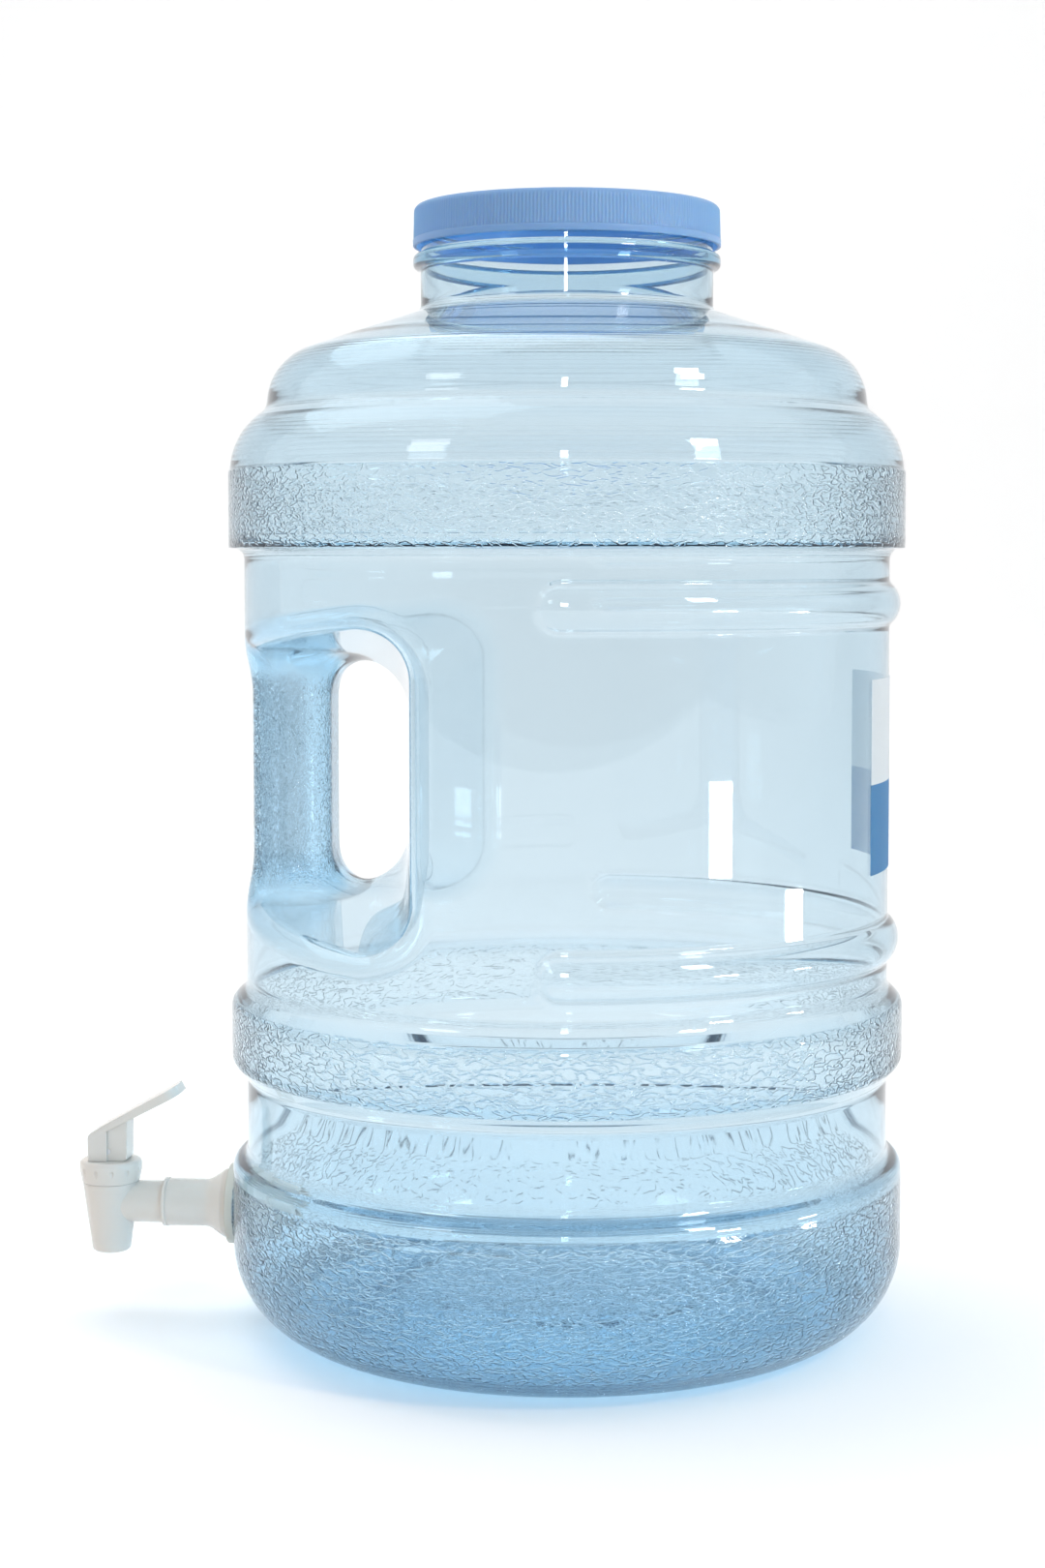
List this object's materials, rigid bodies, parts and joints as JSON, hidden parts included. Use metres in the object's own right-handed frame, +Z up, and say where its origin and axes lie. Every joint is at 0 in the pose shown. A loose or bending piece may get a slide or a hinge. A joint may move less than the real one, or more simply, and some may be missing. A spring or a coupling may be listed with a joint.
{
  "type": "water dispenser bottle",
  "caption": "Wide-mouth clear blue water bottle with a moulded-through handle, a ribbed screw cap and a white lever tap near its base.",
  "frame": {"origin": "centre of the bottle's base, on the plane it stands on", "axes": "+Z up along the bottle's axis to the cap; the handle and the tap are on the -X side, the label is on the +X side; -Y is the front"},
  "size_m": [0.337, 0.27, 0.4502],
  "materials": {
    "bottle_tint": "transparent blue, glossy, with pebbled bands",
    "cap_blue": "satin, finely ribbed side",
    "seal_foam": "soft foam",
    "label_film": "printed film, white above and blue below",
    "tap_white": "warm white, glossy",
    "silicone": "translucent grey-green silicone",
    "black_rubber": "smooth",
    "steel": "bright"
  },
  "bodies": {
    "container": {"bottle": "bottle_tint", "label": "label_film", "mounting_shank": "tap_white", "outer_washer": "silicone", "inner_washer": "silicone", "lock_nut": "tap_white", "tap_body": "tap_white", "arm_o_ring": "black_rubber", "bonnet": "tap_white"},
    "cap_ring": {"cap_seal": "seal_foam"},
    "cap": {"screw_cap": "cap_blue"},
    "valve": {"seat_cup": "silicone", "valve_spring": "steel"},
    "stem": {"valve_stem": "tap_white", "lever_pin": "steel"},
    "handle": {"lever": "tap_white"}
  },
  "joints": [
    {"name": "cap_lift", "type": "slide", "parent": "container", "child": "cap_ring", "axis": [0, 0, 1], "range_m": [0, 0.01524]},
    {"name": "cap_turn", "type": "hinge", "parent": "cap_ring", "child": "cap", "pos_m": [0, 0, 0.44], "axis": [0, 0, 1], "range_deg": [0, 1080]},
    {"name": "stem_lift", "type": "slide", "parent": "container", "child": "valve", "axis": [0, 0, 1], "range_m": [0, 0.00269], "deforming": ["seat_cup", "valve_spring"]},
    {"name": "stem_swivel", "type": "hinge", "parent": "valve", "child": "stem", "pos_m": [-0.1893, 0, 0.05], "axis": [0, 0, 1], "continuous": true},
    {"name": "lever_tilt", "type": "hinge", "parent": "stem", "child": "handle", "pos_m": [-0.1893, 0, 0.06675], "axis": [0, 1, 0], "range_deg": [0, 28], "stiffness_Nm_per_rad": 0.05}
  ],
  "couplings": [
    {"joint": "cap_turn", "follows": "cap_lift", "rad_per_m": 1236.8},
    {"joint": "lever_tilt", "follows": "stem_lift", "rad_per_m": 181.82}
  ]
}
